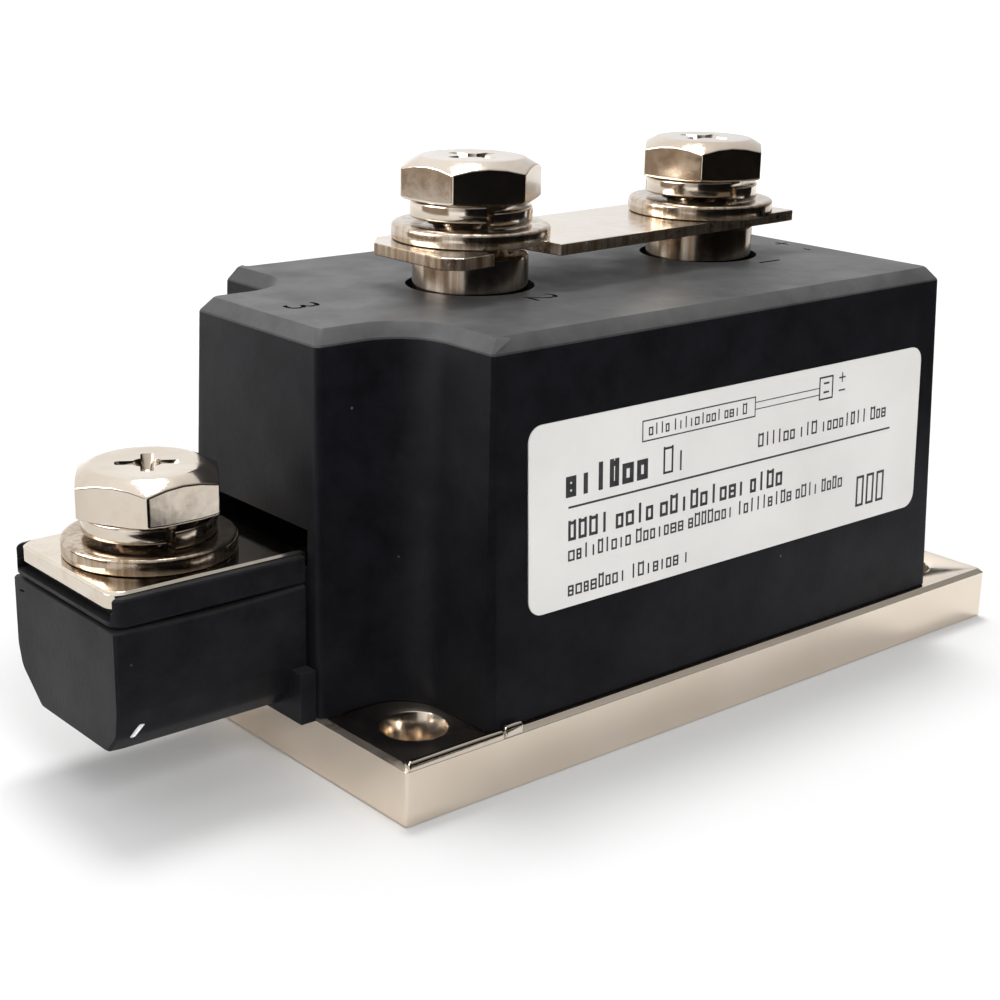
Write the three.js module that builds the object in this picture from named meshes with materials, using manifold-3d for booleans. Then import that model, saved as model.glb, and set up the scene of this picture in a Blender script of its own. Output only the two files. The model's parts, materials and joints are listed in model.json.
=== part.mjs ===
// Solid state relay in a 60 mm wide power-module case, with three M10 load terminals.
// Millimetres, +Z up. The origin is the centre of the base plate's underside, +X points to the
// control-socket end and -Y to the label side.
import * as THREE from "three";
import { mergeVertices } from "three/addons/utils/BufferGeometryUtils.js";
import Module from "manifold-3d";

// ---------------------------------------------------------------- driving dimensions

const PLATE = { length: 108, width: 60, thick: 7.5, edge: 0.6 };
const MOUNTING = { pitchX: 92, pitchY: 42, holeRadius: 3.25, sinkRadius: 4.5, sinkDepth: 1.25 };

const CASE = {
  right: 41.2, // right end wall at the plate
  left: -40.1, // left end of the label face
  notchWall: -41.2, // wall of the corner notches that clear the mounting screws
  neckEnd: -54.5, // end face of the neck, above the plate's left end
  halfWidth: 28.8,
  neckHalfWidth: 13.9,
  notchRadius: 5.8,
  top: 53.5,
  draft: 0.024, // all walls lean in this far for each unit of height
  narrowing: 0.974, // and the width at the top is this share of what that leaves
  rimChamfer: 1.7,
  rimInset: 1.3,
  wall: 2.6,
  neckWall: 1.9,
  roof: 3,
};

const THREAD = { shankRadius: 4.9, boreRadius: 5.15, length: 20 };
const HEAD = { acrossFlats: 15.8, height: 5.2, topRadius: 6.55, chamferDrop: 1.45 };
const FLAT_WASHER = { outer: 10, inner: 5.3, thick: 2 };
const SPRING_WASHER = { outer: 7.7, inner: 5.3, thick: 2.1, rise: 0.8, gapAngle: 0.14 };
const SEAT_GAP = 0.05; // air left between stacked faces

const POST = { x: [20.5, -21.1], radius: 7.35, top: 57.75, boreDepth: 17, holeRadius: 8.2 };
const LINK = {
  thick: 1.5,
  turn: THREE.MathUtils.degToRad(4),
  near: -7.5,
  far: 10.6,
  left: -54.4,
  right: 11.7,
  nearCut: 2,
  farCut: 3.2,
  mouthFlare: 2.3,
};

const BLOCK = {
  x: -68, // axis of terminal 3
  left: -79.4,
  halfWidth: 11.9,
  bottom: 8.8,
  cornerCut: 4.5,
  seam: 24,
  rimTop: 27.6,
  footReach: 2.1,
  footTop: 14,
};
const BUSBAR = {
  top: 27.95,
  thick: 2,
  halfWidth: 11,
  left: -79.1,
  riser: -47.8, // inner end of the tongue, where it turns down towards the plate
  right: 32,
  cornerRadius: 2,
};

const LABEL = { left: -35.1, right: 36.8, bottom: 20.3, top: 43, thick: 0.2, cornerRadius: 2 };

const STACK = {
  tileSize: 32,
  tileThick: 1.5,
  contactRadius: 11,
  contactThick: 1,
  waferRadius: 12.5,
  waferThick: 2.4,
  upperContactRadius: 9,
  flangeRadius: 11.4,
  flangeThick: 4,
  ringOuter: 11.9,
  ringInner: 8,
  ringThick: 3,
  springThick: 1.4,
  springRise: 1.4,
  pressPlate: { x: 24, y: 48, thick: 5 },
  screwSpacing: 19.5,
  screwRadius: 3,
  screwHeadRadius: 5,
  screwHeadHeight: 4,
};
const BOARD = { left: -36, right: 37, halfWidth: 23, bottom: 40, thick: 1.6, postHole: 8.6 };
const SOCKET = {
  y: -4,
  width: 13,
  height: 8,
  left: 32,
  right: 48.5,
  wall: 1.3,
  pinPitch: 5.08,
  pinSize: 1.1,
};

const ROUND = 40; // facets of the larger turned pieces
const FINE = 24; // facets of screws and small turned pieces

// ---------------------------------------------------------------- solids

const wasm = await Module();
wasm.setup();

// A closed surface as a solid that can be cut or joined.
function solid(geometry) {
  const bare = geometry.index ? geometry.toNonIndexed() : geometry.clone();
  bare.deleteAttribute("normal");
  bare.deleteAttribute("uv");
  const merged = mergeVertices(bare, 1e-4);
  return new wasm.Manifold(
    new wasm.Mesh({
      numProp: 3,
      vertProperties: new Float32Array(merged.attributes.position.array),
      triVerts: new Uint32Array(merged.index.array),
    }),
  );
}

function geometryOf(manifold) {
  const mesh = manifold.getMesh();
  const geometry = new THREE.BufferGeometry();
  geometry.setAttribute("position", new THREE.BufferAttribute(new Float32Array(mesh.vertProperties), 3));
  geometry.setIndex(new THREE.BufferAttribute(new Uint32Array(mesh.triVerts), 1));
  geometry.computeVertexNormals();
  return geometry;
}

// The first geometry less all the others.
function cut(geometry, ...tools) {
  return geometryOf(tools.reduce((rest, tool) => rest.subtract(solid(tool)), solid(geometry)));
}

function join(geometry, ...others) {
  return geometryOf(others.reduce((sum, other) => sum.add(solid(other)), solid(geometry)));
}

function common(a, b) {
  return geometryOf(solid(a).intersect(solid(b)));
}

// ---------------------------------------------------------------- basic shapes

// A box given by its lowest and highest corners.
function boxBetween([x0, y0, z0], [x1, y1, z1]) {
  const box = new THREE.BoxGeometry(x1 - x0, y1 - y0, z1 - z0);
  return box.translate((x0 + x1) / 2, (y0 + y1) / 2, (z0 + z1) / 2);
}

// An upright cylinder, or a prism when it has few sides.
function upright(radius, z0, z1, x = 0, y = 0, sides = FINE) {
  const cylinder = new THREE.CylinderGeometry(radius, radius, z1 - z0, sides);
  return cylinder.rotateX(Math.PI / 2).translate(x, y, (z0 + z1) / 2);
}

// A body of revolution about Z from [radius, z] points given with the outside on the way up.
function turned(profile, sides = ROUND) {
  const lathe = new THREE.LatheGeometry(profile.map(([r, z]) => new THREE.Vector2(r, z)), sides);
  return lathe.rotateX(Math.PI / 2);
}

function ring(outer, inner, z0, z1, sides = ROUND) {
  return turned([[inner, z0], [outer, z0], [outer, z1], [inner, z1], [inner, z0]], sides);
}

// A counter-clockwise outline moved inwards by a distance, with mitred corners.
function inset(outline, distance) {
  const count = outline.length;
  return outline.map((point, i) => {
    const before = outline[(i + count - 1) % count];
    const after = outline[(i + 1) % count];
    const inA = point.clone().sub(before).normalize();
    const inB = after.clone().sub(point).normalize();
    const normal = new THREE.Vector2(-inA.y - inB.y, inA.x + inB.x).normalize();
    const stretch = distance / Math.max(0.3, normal.dot(new THREE.Vector2(-inA.y, inA.x)));
    return point.clone().addScaledVector(normal, stretch);
  });
}

// A closed solid through copies of an outline, each at its own height, inset and share of the width.
function layered(outline, levels) {
  const count = outline.length;
  const rings = levels.map(({ z, by, width = 1 }) => inset(outline, by).map((p) => [p.x, p.y * width, z]));
  const index = [];
  for (let level = 0; level + 1 < rings.length; level++) {
    for (let i = 0; i < count; i++) {
      const a = level * count + i;
      const b = level * count + ((i + 1) % count);
      index.push(a, b, b + count, a, b + count, a + count);
    }
  }
  const lastRing = (rings.length - 1) * count;
  for (const [a, b, c] of THREE.ShapeUtils.triangulateShape(outline, [])) {
    index.push(c, b, a, lastRing + a, lastRing + b, lastRing + c);
  }
  const geometry = new THREE.BufferGeometry();
  geometry.setAttribute("position", new THREE.Float32BufferAttribute(rings.flat(2), 3));
  geometry.setIndex(index);
  return geometry;
}

// Points along an arc, both ends included.
function arc(cx, cy, radius, from, to, steps) {
  return Array.from({ length: steps + 1 }, (_, i) => {
    const angle = from + ((to - from) * i) / steps;
    return new THREE.Vector2(cx + radius * Math.cos(angle), cy + radius * Math.sin(angle));
  });
}

function rectangle(x0, y0, x1, y1) {
  return [[x0, y0], [x1, y0], [x1, y1], [x0, y1]].map(([x, y]) => new THREE.Vector2(x, y));
}

function roundedRectangle(x0, y0, x1, y1, radius, steps = 5) {
  const quarter = Math.PI / 2;
  return [
    ...arc(x1 - radius, y0 + radius, radius, -quarter, 0, steps),
    ...arc(x1 - radius, y1 - radius, radius, 0, quarter, steps),
    ...arc(x0 + radius, y1 - radius, radius, quarter, 2 * quarter, steps),
    ...arc(x0 + radius, y0 + radius, radius, 2 * quarter, 3 * quarter, steps),
  ];
}

// ---------------------------------------------------------------- materials

function finish(color, roughness, metalness) {
  return new THREE.MeshStandardMaterial({ color, roughness, metalness });
}

const NICKEL = finish(0xcfc6b8, 0.25, 1);
const PLATE_NICKEL = finish(0xc9bfae, 0.35, 1);
const BLACK_PLASTIC = finish(0x1d1d20, 0.6, 0);
const LABEL_STOCK = finish(0xe9e9e4, 0.55, 0);
const CERAMIC = finish(0xf0efe9, 0.7, 0);
const SILICON = finish(0x5a5f68, 0.3, 0.6);
const STEEL = finish(0x8d9094, 0.4, 1);
const AMBER_PLASTIC = finish(0x8a6a3a, 0.6, 0);
const BOARD_GREEN = finish(0x1f5a37, 0.5, 0);
const SOCKET_WHITE = finish(0xded9c8, 0.55, 0);
const BRASS = finish(0xc7a24e, 0.3, 1);

const relay = new THREE.Group();

function place(name, geometry, material, parent = relay) {
  const mesh = new THREE.Mesh(geometry, material);
  mesh.name = name;
  parent.add(mesh);
  return mesh;
}

// ---------------------------------------------------------------- base plate

const stackX = POST.x;
const screwPlaces = stackX.flatMap((x) => [-1, 1].map((side) => [x, side * STACK.screwSpacing]));

function basePlate() {
  const { length, width, thick, edge } = PLATE;
  const outline = rectangle(-length / 2, -width / 2, length / 2, width / 2);
  const slab = layered(outline, [
    { z: 0, by: 0 },
    { z: thick - edge, by: 0 },
    { z: thick, by: edge },
  ]);
  const { pitchX, pitchY, holeRadius, sinkRadius, sinkDepth } = MOUNTING;
  const drills = [-1, 1].flatMap((sx) =>
    [-1, 1].map((sy) => {
      const profile = [
        [0, -1],
        [holeRadius, -1],
        [holeRadius, thick - sinkDepth],
        [sinkRadius, thick],
        [sinkRadius, thick + 1],
        [0, thick + 1],
      ];
      return turned(profile, ROUND).translate((sx * pitchX) / 2, (sy * pitchY) / 2, 0);
    }),
  );
  const tapped = screwPlaces.map(([x, y]) => upright(STACK.screwRadius + 0.2, 1.5, thick + 1, x, y));
  return cut(slab, ...drills, ...tapped);
}

// ---------------------------------------------------------------- case

// Plan outline of the case at the plate, counter-clockwise from the near right corner.
function caseOutline() {
  const { right, left, notchWall, neckEnd, halfWidth, neckHalfWidth, notchRadius } = CASE;
  const relief = 0.8;
  const farSide = [
    new THREE.Vector2(left, halfWidth),
    new THREE.Vector2(notchWall, halfWidth - relief),
    ...arc(notchWall - notchRadius, neckHalfWidth + notchRadius, notchRadius, 0, -Math.PI / 2, 8),
    new THREE.Vector2(neckEnd, neckHalfWidth),
  ];
  const nearSide = farSide.map((p) => new THREE.Vector2(p.x, -p.y)).reverse();
  return [
    new THREE.Vector2(right, -halfWidth),
    new THREE.Vector2(right, halfWidth),
    ...farSide,
    ...nearSide,
  ];
}

function housing() {
  const { top, draft, narrowing, rimChamfer, rimInset, wall, neckWall, roof } = CASE;
  const { right, notchWall, neckEnd, halfWidth, neckHalfWidth } = CASE;
  const foot = PLATE.thick + SEAT_GAP;
  const shoulder = top - rimChamfer;
  const lean = draft * (shoulder - foot);
  const outside = layered(caseOutline(), [
    { z: foot, by: 0 },
    { z: shoulder, by: lean, width: narrowing },
    { z: top, by: lean + rimInset, width: narrowing },
  ]);
  const mainRoom = layered(
    rectangle(notchWall + wall, -halfWidth + wall, right - wall, halfWidth - wall),
    [
      { z: foot - 1, by: 0 },
      { z: top - roof, by: lean, width: narrowing },
    ],
  );
  const neckRoom = layered(
    rectangle(neckEnd + wall, -neckHalfWidth + neckWall, notchWall + 2 * wall, neckHalfWidth - neckWall),
    [
      { z: foot - 1, by: 0 },
      { z: top - roof, by: lean, width: narrowing },
    ],
  );
  const postHoles = POST.x.map((x) => upright(POST.holeRadius, top - roof - 1, top + 1, x, 0, ROUND));
  const busbarSlot = boxBetween(
    [neckEnd - 1, -BUSBAR.halfWidth - 0.2, BUSBAR.top - BUSBAR.thick - 0.3],
    [neckEnd + wall + 2, BUSBAR.halfWidth + 0.2, BUSBAR.top + 2.3],
  );
  const socketHole = boxBetween(
    [right - wall - 4, SOCKET.y - SOCKET.width / 2 - 0.3, BOARD.bottom + BOARD.thick - 0.2],
    [right + 1, SOCKET.y + SOCKET.width / 2 + 0.3, BOARD.bottom + BOARD.thick + SOCKET.height + 0.5],
  );
  return cut(outside, mainRoom, neckRoom, ...postHoles, busbarSlot, socketHole);
}

// ---------------------------------------------------------------- terminal 3: block, rim, busbar, nut

function terminalBlock() {
  const { left, halfWidth, bottom, cornerCut, seam, footReach, footTop, x } = BLOCK;
  const end = CASE.neckEnd - 0.3;
  const section = new THREE.Shape([
    new THREE.Vector2(-halfWidth, seam),
    new THREE.Vector2(-halfWidth, bottom + 6),
    new THREE.Vector2(-halfWidth + 0.3, bottom + 3.6),
    new THREE.Vector2(-halfWidth + 1.2, bottom + 1.4),
    new THREE.Vector2(-halfWidth + 2.7, bottom),
    new THREE.Vector2(halfWidth - cornerCut - 1.2, bottom),
    new THREE.Vector2(halfWidth - cornerCut + 1, bottom + 0.7),
    new THREE.Vector2(halfWidth - 0.9, bottom + cornerCut - 1),
    new THREE.Vector2(halfWidth, bottom + cornerCut + 1.2),
    new THREE.Vector2(halfWidth, seam),
  ]);
  const bar = new THREE.ExtrudeGeometry(section, { depth: end - left, bevelEnabled: false });
  bar.rotateX(Math.PI / 2).rotateZ(Math.PI / 2).translate(left, 0, 0);
  const foot = boxBetween(
    [end - footReach, -CASE.neckHalfWidth + 0.1, PLATE.thick + 0.1],
    [end, CASE.neckHalfWidth - 0.1, footTop],
  );
  const nutPocket = upright(9.6, seam - 8.5, seam + 1, x, 0, 6);
  const shankPocket = upright(THREAD.boreRadius + 0.6, bottom + 2.2, seam, x, 0);
  return cut(join(bar, foot), nutPocket, shankPocket);
}

function terminalRim() {
  const { left, halfWidth, seam, rimTop, x } = BLOCK;
  const end = CASE.neckEnd - 0.3;
  const outline = roundedRectangle(left, -halfWidth, end, halfWidth, 1.5, 3);
  const frame = layered(outline, [
    { z: seam + 0.15, by: 0.15 },
    { z: seam + 0.5, by: 0 },
    { z: rimTop - 0.3, by: 0 },
    { z: rimTop, by: 0.3 },
  ]);
  const underside = BUSBAR.top - BUSBAR.thick - SEAT_GAP;
  const channel = boxBetween(
    [left - 1, -BUSBAR.halfWidth - 0.15, underside],
    [end + 1, BUSBAR.halfWidth + 0.15, rimTop + 1],
  );
  const shadowGap = boxBetween(
    [left - 1, -BUSBAR.halfWidth - 0.15, seam + 0.8],
    [left + 1.6, BUSBAR.halfWidth + 0.15, underside + 0.5],
  );
  const shankHole = upright(THREAD.boreRadius + 0.3, seam - 1, underside + 1, x, 0);
  return cut(frame, channel, shadowGap, shankHole);
}

function busbar() {
  const { top, thick, halfWidth, left, riser, right, cornerRadius } = BUSBAR;
  const low = PLATE.thick + 2 * SEAT_GAP + STACK.tileThick;
  const outline = roundedRectangle(left, -halfWidth, riser, halfWidth, cornerRadius, 4);
  const tongue = layered(outline, [
    { z: top - thick, by: 0 },
    { z: top - 0.25, by: 0 },
    { z: top, by: 0.25 },
  ]);
  const side = halfWidth - 0.8;
  const rise = boxBetween([riser - thick - 1, -side, low], [riser - 1, side, top - 0.4]);
  const runner = boxBetween([riser - thick - 0.9, -side, low], [right, side, low + thick]);
  const hole = upright(THREAD.boreRadius + 0.15, top - thick - 1, top + 1, BLOCK.x, 0);
  return cut(join(tongue, rise, runner), hole);
}

function captiveNut() {
  const { seam, x } = BLOCK;
  const nut = upright(9.2, seam - 8.1, seam - 0.1, x, 0, 6);
  return cut(nut, upright(THREAD.boreRadius, seam - 9, seam + 1, x, 0));
}

// ---------------------------------------------------------------- screws and washers

function hexScrew() {
  const { acrossFlats, height, topRadius, chamferDrop } = HEAD;
  const cornerRadius = acrossFlats / 2 / Math.cos(Math.PI / 6);
  const hex = upright(cornerRadius, 0, height, 0, 0, 6);
  const envelope = turned(
    [
      [0, -1],
      [cornerRadius - 0.55, -1],
      [cornerRadius - 0.55, 0],
      [cornerRadius + 0.2, 0.45],
      [cornerRadius + 0.2, height - chamferDrop],
      [topRadius, height],
      [0, height],
    ],
    36,
  );
  const arm = boxBetween([-3.7, -0.75, height - 1.6], [3.7, 0.75, height + 1]);
  const crossArm = arm.clone().rotateZ(Math.PI / 2);
  const head = cut(common(hex, envelope), join(arm, crossArm));
  const { shankRadius, length } = THREAD;
  const shank = turned(
    [
      [0, -length],
      [shankRadius - 1, -length],
      [shankRadius, -length + 1],
      [shankRadius, 0.5],
      [0, 0.5],
    ],
    FINE,
  );
  return join(head, shank);
}

// A split ring whose ends stand apart in height by the given rise.
function springWasher() {
  const { outer, inner, thick, rise, gapAngle } = SPRING_WASHER;
  const steps = 36;
  const turn = 2 * Math.PI - gapAngle;
  const position = [];
  for (let i = 0; i <= steps; i++) {
    const angle = gapAngle / 2 + (turn * i) / steps;
    const z = (rise * i) / steps;
    for (const [r, dz] of [[inner, 0], [outer, 0], [outer, thick], [inner, thick]]) {
      position.push(r * Math.cos(angle), r * Math.sin(angle), z + dz);
    }
  }
  const index = [0, 1, 2, 0, 2, 3];
  for (let i = 0; i < steps; i++) {
    for (let side = 0; side < 4; side++) {
      const a = 4 * i + side;
      const b = 4 * i + ((side + 1) % 4);
      index.push(a, a + 4, b + 4, a, b + 4, b);
    }
  }
  const last = 4 * steps;
  index.push(last, last + 2, last + 1, last, last + 3, last + 2);
  const geometry = new THREE.BufferGeometry();
  geometry.setAttribute("position", new THREE.Float32BufferAttribute(position, 3));
  geometry.setIndex(index);
  return geometry;
}

// Screw, spring washer and flat washer of one terminal, standing on the seat height. The turns of
// the hexagon and of the split in the spring washer are in degrees.
function terminalHardware(number, x, seat, headTurn, splitTurn) {
  const group = new THREE.Group();
  group.position.set(x, 0, seat);
  relay.add(group);
  const washer = ring(FLAT_WASHER.outer, FLAT_WASHER.inner, SEAT_GAP, SEAT_GAP + FLAT_WASHER.thick, 48);
  place(`flat_washer_${number}`, washer, NICKEL, group);
  const spring = place(`spring_washer_${number}`, springWasher(), NICKEL, group);
  spring.position.z = 2 * SEAT_GAP + FLAT_WASHER.thick;
  spring.rotation.z = THREE.MathUtils.degToRad(splitTurn);
  const screw = place(`terminal_screw_${number}`, hexScrew(), NICKEL, group);
  screw.position.z = spring.position.z + SPRING_WASHER.thick + SPRING_WASHER.rise + SEAT_GAP;
  screw.rotation.z = THREE.MathUtils.degToRad(headTurn);
}

// ---------------------------------------------------------------- posts and link bar

function terminalPost() {
  const base = postBase();
  const { radius, top, boreDepth } = POST;
  const { flangeRadius, flangeThick } = STACK;
  return turned([
    [0, base],
    [flangeRadius, base],
    [flangeRadius, base + flangeThick],
    [radius, base + flangeThick],
    [radius, top - 0.4],
    [radius - 0.4, top],
    [THREAD.boreRadius, top],
    [THREAD.boreRadius, top - boreDepth],
    [0, top - boreDepth - 2],
  ]);
}

// Drawn about terminal 1 and then turned: a bar with a round hole there and a slot, open on the
// near side, round the shank of terminal 2.
function linkBar() {
  const { thick, turn, near, far, left, right, nearCut, farCut, mouthFlare } = LINK;
  const outline = [
    [left + nearCut, near],
    [right, near],
    [right, far],
    [left + 0.8 + farCut, far],
    [left + 0.8, far - farCut],
    [left, near + nearCut],
  ].map(([x, y]) => new THREE.Vector2(x, y));
  const low = POST.top + SEAT_GAP;
  const bar = layered(outline, [
    { z: low, by: 0 },
    { z: low + thick - 0.15, by: 0 },
    { z: low + thick, by: 0.15 },
  ]);
  bar.rotateZ(turn);
  const hole = upright(THREAD.boreRadius, low - 1, low + thick + 1);
  const reach = POST.x[1] - POST.x[0];
  const slotEnd = upright(THREAD.boreRadius, low - 1, low + thick + 1);
  const mouth = layered(
    [
      [-THREAD.boreRadius, -20],
      [THREAD.boreRadius + mouthFlare, -20],
      [THREAD.boreRadius, 0],
      [-THREAD.boreRadius, 0],
    ].map(([x, y]) => new THREE.Vector2(x, y)),
    [
      { z: low - 1, by: 0 },
      { z: low + thick + 1, by: 0 },
    ],
  );
  const slot = join(slotEnd, mouth).translate(reach, 0, 0);
  return cut(bar, hole, slot).translate(POST.x[0], 0, 0);
}

// ---------------------------------------------------------------- thyristor stacks

function postBase() {
  const { tileThick, contactThick, waferThick } = STACK;
  const busbarThick = BUSBAR.thick;
  return PLATE.thick + tileThick + busbarThick + 2 * contactThick + waferThick + 6 * SEAT_GAP;
}

function thyristorStack(number, x) {
  const group = new THREE.Group();
  group.position.x = x;
  relay.add(group);
  const s = STACK;
  let z = PLATE.thick + SEAT_GAP;
  const half = s.tileSize / 2;
  const tile = boxBetween([-half, -half, z], [half, half, z + s.tileThick]);
  place(`ceramic_tile_${number}`, tile, CERAMIC, group);
  z += s.tileThick + SEAT_GAP + BUSBAR.thick + SEAT_GAP;
  const lowerDisc = upright(s.contactRadius, z, z + s.contactThick, 0, 0, ROUND);
  place(`lower_contact_disc_${number}`, lowerDisc, STEEL, group);
  z += s.contactThick + SEAT_GAP;
  const wafer = turned([
    [0, z],
    [s.waferRadius - 0.8, z],
    [s.waferRadius, z + 0.8],
    [s.waferRadius, z + 1.6],
    [s.waferRadius - 1.6, z + s.waferThick],
    [0, z + s.waferThick],
  ]);
  place(`thyristor_${number}`, wafer, SILICON, group);
  z += s.waferThick + SEAT_GAP;
  const upperDisc = upright(s.upperContactRadius, z, z + s.contactThick, 0, 0, ROUND);
  place(`upper_contact_disc_${number}`, upperDisc, STEEL, group);
  place(`terminal_post_${number}`, terminalPost(), NICKEL, group);
  z = postBase() + s.flangeThick + SEAT_GAP;
  const collar = ring(s.ringOuter, s.ringInner, z, z + s.ringThick);
  place(`insulating_ring_${number}`, collar, AMBER_PLASTIC, group);
  z += s.ringThick + SEAT_GAP;
  const inner = s.ringInner + 0.3;
  const outer = s.ringOuter - 0.3;
  const cone = turned([
    [inner, z + s.springRise],
    [outer, z],
    [outer, z + s.springThick],
    [inner, z + s.springRise + s.springThick],
    [inner, z + s.springRise],
  ]);
  place(`disc_spring_${number}`, cone, STEEL, group);
  z += s.springRise + s.springThick + SEAT_GAP;
  const bridge = boxBetween(
    [-s.pressPlate.x / 2, -s.pressPlate.y / 2, z],
    [s.pressPlate.x / 2, s.pressPlate.y / 2, z + s.pressPlate.thick],
  );
  const bridgeHoles = [-1, 1].map((side) =>
    upright(s.screwRadius + 0.3, z - 1, z + s.pressPlate.thick + 1, 0, side * s.screwSpacing),
  );
  const postHole = upright(POST.radius + 0.9, z - 1, z + s.pressPlate.thick + 1, 0, 0, ROUND);
  place(`pressure_plate_${number}`, cut(bridge, postHole, ...bridgeHoles), STEEL, group);
  z += s.pressPlate.thick + SEAT_GAP;
  return z;
}

function clampScrew(seat) {
  const s = STACK;
  return turned(
    [
      [0, 2],
      [s.screwRadius, 2],
      [s.screwRadius, seat],
      [s.screwHeadRadius, seat],
      [s.screwHeadRadius, seat + s.screwHeadHeight],
      [2.5, seat + s.screwHeadHeight],
      [2.5, seat + 1.5],
      [0, seat + 1.5],
    ],
    FINE,
  );
}

// ---------------------------------------------------------------- control board and socket

const boardTop = BOARD.bottom + BOARD.thick;
const spacerPlaces = [[-35.35, -20], [-35.35, 20], [34.65, -20], [34.65, 20]];

function controlBoard() {
  const { left, right, halfWidth, bottom, postHole } = BOARD;
  const outline = roundedRectangle(left, -halfWidth, right, halfWidth, 1.5, 3);
  const board = layered(outline, [
    { z: bottom, by: 0 },
    { z: boardTop, by: 0 },
  ]);
  const holes = POST.x.map((x) => upright(postHole, bottom - 1, boardTop + 1, x, 0, ROUND));
  const leadHoles = gateLeadSides.map((side, i) => {
    return upright(1.1, bottom - 1, boardTop + 1, POST.x[i] + side * gateLeadOffset, 0, 12);
  });
  const pinHoles = pinPlaces.map((y) => {
    return boxBetween([pinTail - 0.8, y - 0.8, bottom - 1], [pinTail + 0.8, y + 0.8, boardTop + 1]);
  });
  return cut(board, ...holes, ...leadHoles, ...pinHoles);
}

// A shrouded two-pin header: a hollow box, open towards +X, with a solid back.
function controlSocket() {
  const { y, width, height, left, right, wall } = SOCKET;
  const low = boardTop + SEAT_GAP;
  const body = boxBetween([left, y - width / 2, low], [right, y + width / 2, low + height]);
  const mouth = boxBetween(
    [right - 8, y - width / 2 + wall, low + wall],
    [right + 1, y + width / 2 - wall, low + height - wall],
  );
  const keyway = boxBetween(
    [right - 6, y - 2, low + height - wall - 0.5],
    [right + 1, y + 2, low + height + 1],
  );
  const bores = pinPlaces.map((pinY) => {
    const half = SOCKET.pinSize / 2 + 0.15;
    const back = right - 7;
    return boxBetween([left - 1, pinY - half, pinHeight - half], [back, pinY + half, pinHeight + half]);
  });
  return cut(body, mouth, keyway, ...bores);
}

const pinPlaces = [-1, 1].map((side) => SOCKET.y + (side * SOCKET.pinPitch) / 2);
const pinHeight = boardTop + SEAT_GAP + SOCKET.height / 2;
const pinTail = SOCKET.left - 1.4;

// A square pin bent down into the board at its inner end.
function controlPin(y) {
  const half = SOCKET.pinSize / 2;
  const tip = SOCKET.right - 1.5;
  const run = boxBetween([pinTail - half, y - half, pinHeight - half], [tip, y + half, pinHeight + half]);
  const tail = boxBetween(
    [pinTail - half, y - half, BOARD.bottom - 1.5],
    [pinTail + half, y + half, pinHeight],
  );
  return join(run, tail);
}

// ---------------------------------------------------------------- gate leads

const gateLeadOffset = 14.6;
const gateLeadSides = [-1, 1]; // each lead leaves its wafer towards the middle of the case

// A thin lead from the rim of the wafer out past the pressure plate and up through the board.
function gateLead(x, side) {
  const waferLevel = PLATE.thick + STACK.tileThick + BUSBAR.thick + STACK.contactThick + 1.4;
  const route = [
    [STACK.waferRadius + 0.4, waferLevel],
    [gateLeadOffset - 0.6, waferLevel + 0.6],
    [gateLeadOffset, waferLevel + 3],
    [gateLeadOffset, 26],
    [gateLeadOffset, boardTop + 1],
  ].map(([dx, z]) => new THREE.Vector3(x + side * dx, 0, z));
  const path = new THREE.CatmullRomCurve3(route, false, "centripetal");
  const section = new THREE.Shape(arc(0, 0, 0.5, 0, 2 * Math.PI * (7 / 8), 7));
  return new THREE.ExtrudeGeometry(section, { steps: 24, bevelEnabled: false, extrudePath: path });
}

// ---------------------------------------------------------------- label

// A rounded card laid on the leaning near wall of the case.
function label() {
  const { left, right, bottom, top, thick, cornerRadius } = LABEL;
  const outline = roundedRectangle(left, bottom, right, top, cornerRadius);
  const card = layered(outline, [
    { z: 0, by: 0 },
    { z: thick, by: 0 },
  ]);
  card.rotateX(Math.PI / 2);
  const foot = PLATE.thick + SEAT_GAP;
  const wallHeight = CASE.top - CASE.rimChamfer - foot;
  const wallTop = (CASE.halfWidth - CASE.draft * wallHeight) * CASE.narrowing;
  const slope = (CASE.halfWidth - wallTop) / wallHeight;
  const points = card.attributes.position;
  for (let i = 0; i < points.count; i++) {
    const wallY = -CASE.halfWidth + slope * (points.getZ(i) - foot);
    points.setY(i, wallY - SEAT_GAP + points.getY(i));
  }
  return card;
}

// ---------------------------------------------------------------- assembly

place("base_plate", basePlate(), PLATE_NICKEL);
place("housing", housing(), BLACK_PLASTIC);
place("terminal_block", terminalBlock(), BLACK_PLASTIC);
place("terminal_rim", terminalRim(), BLACK_PLASTIC);
place("busbar", busbar(), NICKEL);
place("captive_nut", captiveNut(), STEEL);
place("link_bar", linkBar(), NICKEL);
place("label", label(), LABEL_STOCK);

let clampSeat = 0;
POST.x.forEach((x, i) => {
  clampSeat = thyristorStack(i + 1, x);
  place(`gate_lead_${i + 1}`, gateLead(x, gateLeadSides[i]), AMBER_PLASTIC);
});
screwPlaces.forEach(([x, y], i) => {
  place(`clamp_screw_${i + 1}`, clampScrew(clampSeat).translate(x, y, 0), STEEL);
});

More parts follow.
